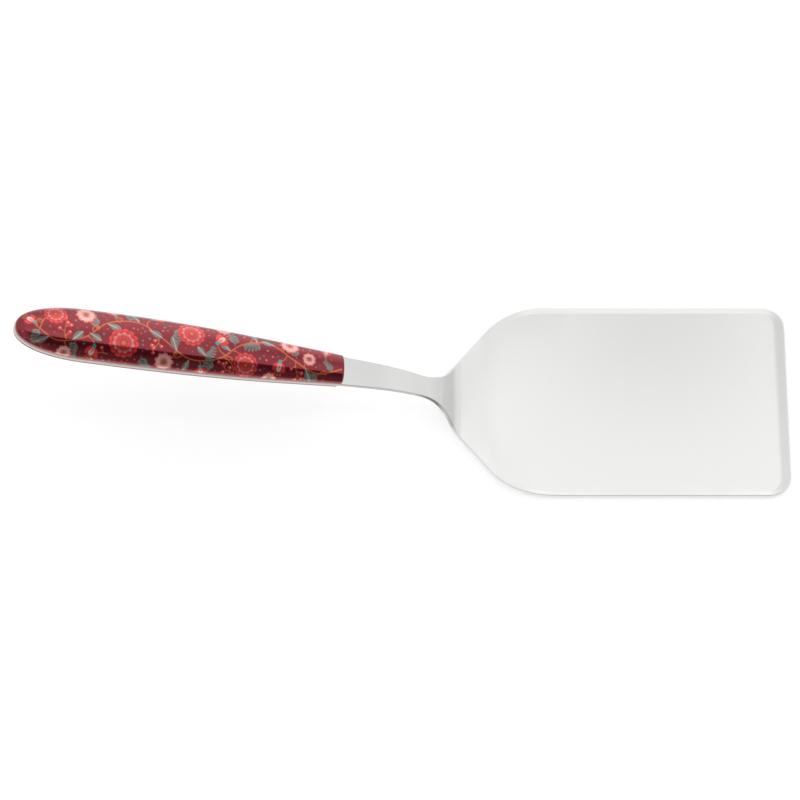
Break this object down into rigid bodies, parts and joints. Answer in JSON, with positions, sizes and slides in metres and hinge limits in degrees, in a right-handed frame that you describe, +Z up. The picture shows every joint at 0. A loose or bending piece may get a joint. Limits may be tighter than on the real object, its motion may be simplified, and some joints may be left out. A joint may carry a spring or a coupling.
{
  "type": "lasagna server",
  "caption": "Wide flat stainless blade with a soft raised rim and square corners, cranked up through a slim neck to a glossy printed plastic handle, for cutting and lifting squares of lasagna.",
  "frame": {"origin": "middle of the object's length and width, on the surface that the blade rests on", "axes": "+X along the server from the handle to the blade's tip, +Y across the blade, +Z up from the surface"},
  "size_m": [0.2944, 0.0806, 0.0704],
  "materials": {
    "blade_steel": "fine satin, with bright rubbed arrises",
    "printed_scale": "deep burgundy with a printed flower pattern under a high-gloss clear coat",
    "plain_scale": "plain dark burgundy, moulded gloss",
    "pin_steel": "plain drawn wire, hidden"
  },
  "bodies": {
    "root": {"blade_and_tang": "blade_steel", "upper_scale": "printed_scale", "lower_scale": "plain_scale", "front_locating_pin": "pin_steel", "rear_locating_pin": "pin_steel"}
  },
  "joints": []
}
